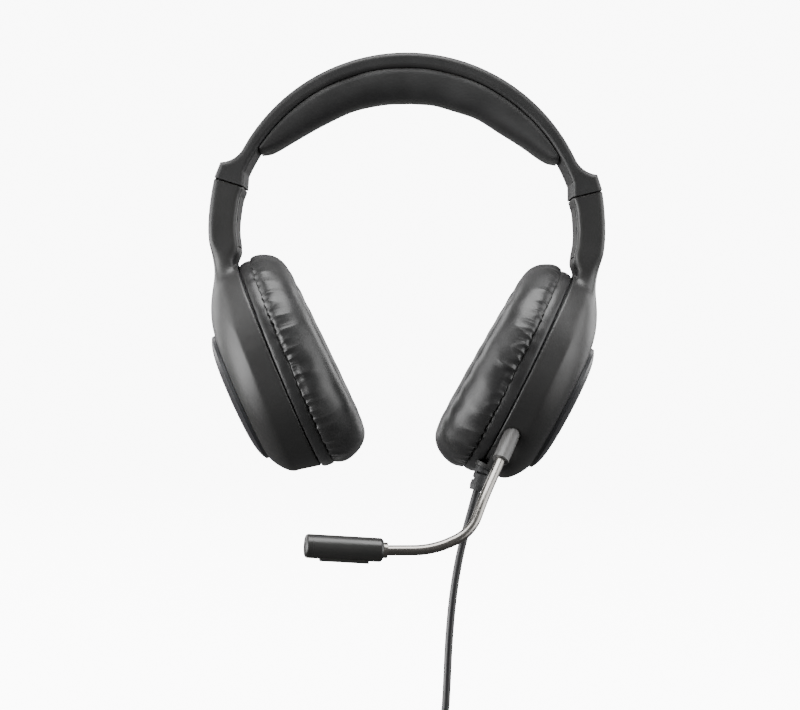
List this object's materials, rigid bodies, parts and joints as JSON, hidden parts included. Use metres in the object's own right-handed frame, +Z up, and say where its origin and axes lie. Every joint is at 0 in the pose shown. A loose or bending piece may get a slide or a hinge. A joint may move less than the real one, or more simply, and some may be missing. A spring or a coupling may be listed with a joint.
{
  "type": "gaming headset",
  "caption": "Wired over-ear headset with sliding arms, oval cushioned cups, a turning boom microphone and a coiled cable.",
  "frame": {"origin": "middle of the head pad's underside, where the headset rests on the crown of the head", "axes": "+Z up, +X towards the wearer's left (the side with the microphone), -Y the way the wearer faces"},
  "size_m": [0.1989, 0.1177, 0.3236],
  "materials": {
    "shell": "satin moulded",
    "band": "fine matte",
    "plate": "satin",
    "inner_plastic": "matte",
    "leatherette": "soft glossy",
    "pad_cover": "matte",
    "spring_steel": "satin",
    "screw_steel": "black zinc",
    "cloth": "woven",
    "nylon": "natural",
    "magnet": "plated",
    "film": "film",
    "board": "solder mask",
    "sleeve": "satin",
    "gunmetal": "black chrome",
    "capsule": "satin",
    "rubber": "matte",
    "pvc": "smooth",
    "gold": "gold plated",
    "red_enamel": "insulated wire"
  },
  "bodies": {
    "band": {"band_shell": "band", "band_spring": "spring_steel", "band_liner": "inner_plastic", "band_pad": "pad_cover", "crossover_wire": "red_enamel", "left_band_end_cap": "inner_plastic", "right_band_end_cap": "inner_plastic"},
    "left_cup": {"left_cup_shell": "shell", "left_outer_plate": "plate", "left_arm_cover": "shell", "left_arm_screws": "screw_steel", "left_slide_guide": "nylon", "left_detent_ball": "spring_steel", "left_baffle": "inner_plastic", "left_baffle_screws": "screw_steel", "left_driver_frame": "inner_plastic", "left_driver_diaphragm": "film", "left_driver_magnet": "magnet", "left_acoustic_cloth": "cloth", "left_pad_skirt": "leatherette", "left_ear_cushion": "leatherette", "mic_sleeve": "sleeve", "cable_gland": "shell", "strain_relief": "rubber", "volume_control": "inner_plastic", "circuit_board": "board", "cable_lead": "pvc", "cable_coil": "pvc", "cable_tail": "pvc", "coil_tie": "rubber", "plug_boot": "rubber", "plug_jack": "gold"},
    "right_cup": {"right_cup_shell": "shell", "right_outer_plate": "plate", "right_arm_cover": "shell", "right_arm_screws": "screw_steel", "right_slide_guide": "nylon", "right_detent_ball": "spring_steel", "right_baffle": "inner_plastic", "right_baffle_screws": "screw_steel", "right_driver_frame": "inner_plastic", "right_driver_diaphragm": "film", "right_driver_magnet": "magnet", "right_acoustic_cloth": "cloth", "right_pad_skirt": "leatherette", "right_ear_cushion": "leatherette"},
    "mic_boom": {"mic_boom": "gunmetal", "mic_ferrule": "gunmetal", "mic_capsule": "capsule", "mic_end_cap": "capsule", "mic_element": "magnet", "mic_plate": "capsule"},
    "volume_wheel": {"volume_wheel": "rubber"}
  },
  "joints": [
    {"name": "left_slider", "type": "slide", "parent": "band", "child": "left_cup", "axis": [0.2672, 0, -0.9636], "range_m": [0, 0.02]},
    {"name": "right_slider", "type": "slide", "parent": "band", "child": "right_cup", "axis": [-0.2672, 0, -0.9636], "range_m": [0, 0.02]},
    {"name": "boom_turn", "type": "hinge", "parent": "left_cup", "child": "mic_boom", "pos_m": [0.04911, -0.0336, -0.15082], "axis": [-0.3397, -0.5736, -0.7454], "range_deg": [-100, 0]},
    {"name": "volume_turn", "type": "hinge", "parent": "left_cup", "child": "volume_wheel", "pos_m": [0.05564, 0.0335, -0.13215], "axis": [0.91, 0, -0.4147], "range_deg": [-140, 140]}
  ]
}
